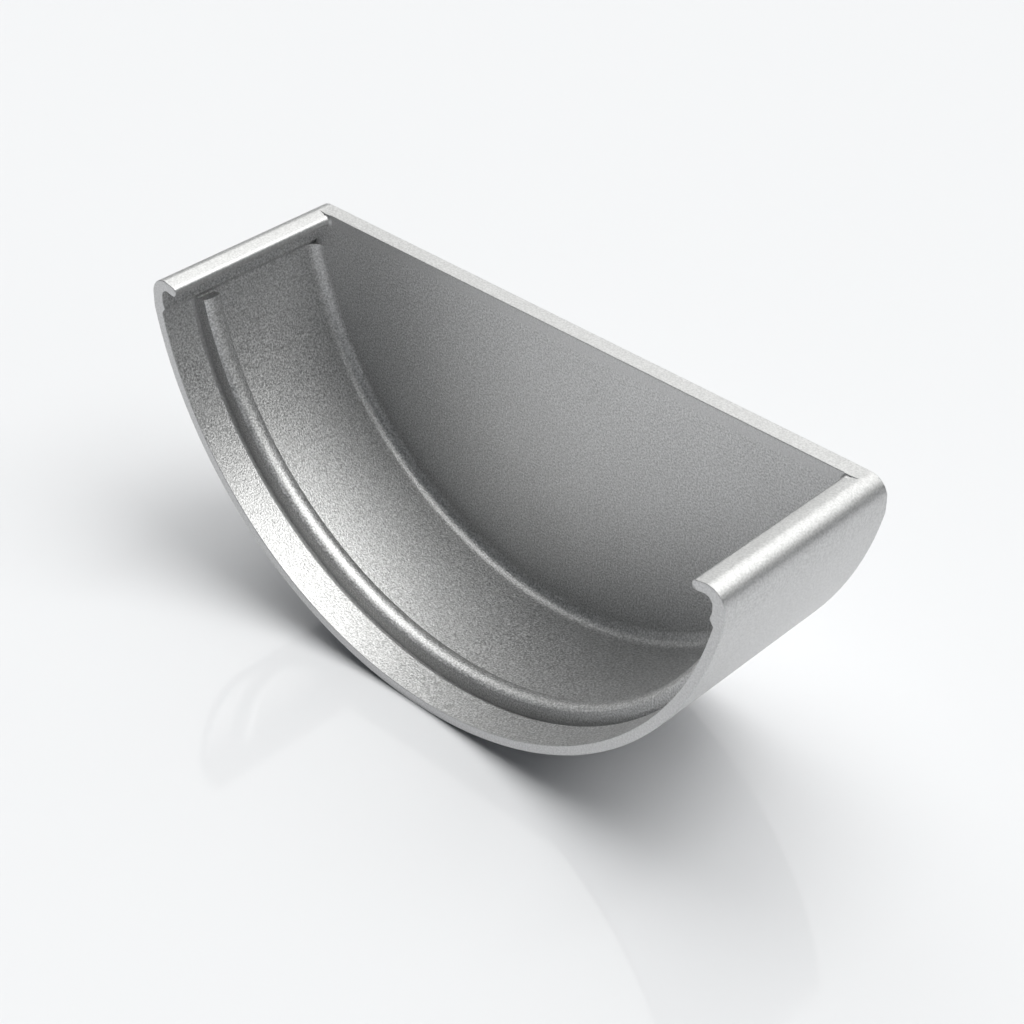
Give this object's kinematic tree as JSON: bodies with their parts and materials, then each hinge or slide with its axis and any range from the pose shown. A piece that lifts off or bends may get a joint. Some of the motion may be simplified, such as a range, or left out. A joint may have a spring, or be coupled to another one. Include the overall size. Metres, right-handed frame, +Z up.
{
  "type": "gutter end cap",
  "caption": "End cap for a half-round roof gutter, with hooked lips, saw-tooth ledges and a round-crowned rib inside the open edge.",
  "frame": {"origin": "on the axis of the trough, in the plane of the open edge", "axes": "+X across the gutter, +Y along the gutter towards the end wall, +Z up"},
  "size_m": [0.1278, 0.0392, 0.0593],
  "materials": {
    "silver_plastic": "satin, silver-grey with a fine metallic fleck"
  },
  "bodies": {
    "root": {"end_cap": "silver_plastic"}
  },
  "joints": []
}
